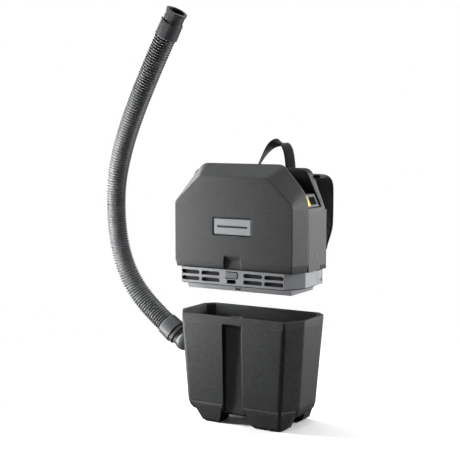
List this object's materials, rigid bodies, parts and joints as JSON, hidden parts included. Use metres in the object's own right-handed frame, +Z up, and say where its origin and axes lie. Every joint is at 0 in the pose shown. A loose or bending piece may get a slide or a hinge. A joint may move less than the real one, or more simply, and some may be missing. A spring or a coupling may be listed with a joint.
{
  "type": "backpack vacuum cleaner",
  "caption": "Cordless backpack vacuum: a foam-clad motor head with harness and battery, lifted off its dust container, with a hose on the side.",
  "frame": {"origin": "on the floor, in the middle of the box round the container, head and harness, without the hose and its port", "axes": "+Z up, -Y to the front with the badge, +Y to the harness, -X to the hose inlet, +X to the battery"},
  "size_m": [0.5326, 0.2306, 0.9125],
  "materials": {
    "foam_dark": "fine beaded foam, matte",
    "plastic_black": "matte black plastic",
    "plastic_grey": "mid-grey moulded plastic",
    "hose_black": "ribbed flexible plastic",
    "silver": "brushed, satin",
    "steel": "plain steel",
    "rubber": "soft rubber",
    "filter_foam": "open-cell foam",
    "fleece": "white fleece",
    "mesh_fabric": "spacer mesh with bound edges",
    "webbing": "woven polyester webbing",
    "battery_blue": "bluish-grey moulded plastic",
    "yellow": "bright yellow plastic",
    "window": "glossy dark window",
    "board": "green circuit board",
    "motor_metal": "die-cast metal"
  },
  "bodies": {
    "container": {"container_shell": "foam_dark", "container_feet": "foam_dark", "latch_keeper": "steel", "inlet_port": "plastic_black", "hose": "hose_black", "hose_end_connector": "plastic_black", "bag_adapter": "plastic_grey", "filter_bag": "fleece"},
    "cuff": {"hose_cuff": "plastic_black"},
    "head": {"base_frame": "plastic_grey", "base_seal": "rubber", "intake_grille": "plastic_black", "motor_filter": "filter_foam", "exhaust_foam": "filter_foam", "latch_pin": "steel", "latch_spring": "steel", "side_clips": "plastic_grey", "front_cover": "foam_dark", "badge_plate": "silver", "main_shell": "plastic_grey", "side_plugs": "plastic_grey", "switch_frame": "plastic_black", "fan_housing": "plastic_black", "motor_can": "motor_metal", "motor_bearings": "steel", "motor_stator": "steel", "motor_mounts": "rubber", "motor_bracket": "plastic_black", "battery_bay": "plastic_black", "terminal_block": "plastic_black", "control_board": "board", "board_parts": "motor_metal", "back_plate": "plastic_black", "plate_screws": "steel", "back_pad_upper": "mesh_fabric", "back_pad_lower": "mesh_fabric", "shoulder_strap_left": "mesh_fabric", "shoulder_strap_right": "mesh_fabric", "lower_webbing_left": "webbing", "lower_webbing_right": "webbing", "adjuster_left": "plastic_black", "adjuster_right": "plastic_black", "carry_handle": "webbing", "handle_anchor": "webbing"},
    "latch": {"latch_lever": "silver"},
    "rocker": {"switch_rocker": "plastic_black"},
    "battery": {"battery_case": "battery_blue", "battery_display": "window", "button_spring": "steel"},
    "button": {"battery_button": "yellow"},
    "impeller": {"impeller": "motor_metal"}
  },
  "joints": [
    {"name": "head_lift", "type": "slide", "parent": "container", "child": "head", "axis": [0, 0, 1], "range_m": [-0.0677, 0.05]},
    {"name": "cuff_swivel", "type": "hinge", "parent": "container", "child": "cuff", "pos_m": [-0.172, -0.032, 0.159], "axis": [-0.8141, 0, 0.5807], "continuous": true},
    {"name": "latch_release", "type": "hinge", "parent": "head", "child": "latch", "pos_m": [0, -0.102, 0.331], "axis": [1, 0, 0], "range_deg": [-6, 6], "stiffness_Nm_per_rad": 0.05},
    {"name": "switch_tilt", "type": "hinge", "parent": "head", "child": "rocker", "pos_m": [-0.1535, -0.024, 0.432], "axis": [0, 1, 0], "range_deg": [0, 8]},
    {"name": "battery_lift", "type": "slide", "parent": "head", "child": "battery", "axis": [0, 0, 1], "range_m": [0, 0.15]},
    {"name": "battery_release", "type": "slide", "parent": "battery", "child": "button", "axis": [-0.8989, 0, -0.4381], "range_m": [0, 0.003], "stiffness_N_per_m": 400, "springref_m": -0.002},
    {"name": "fan_spin", "type": "hinge", "parent": "head", "child": "impeller", "pos_m": [-0.045, -0.034, 0.38], "axis": [0, 0, 1], "continuous": true}
  ]
}
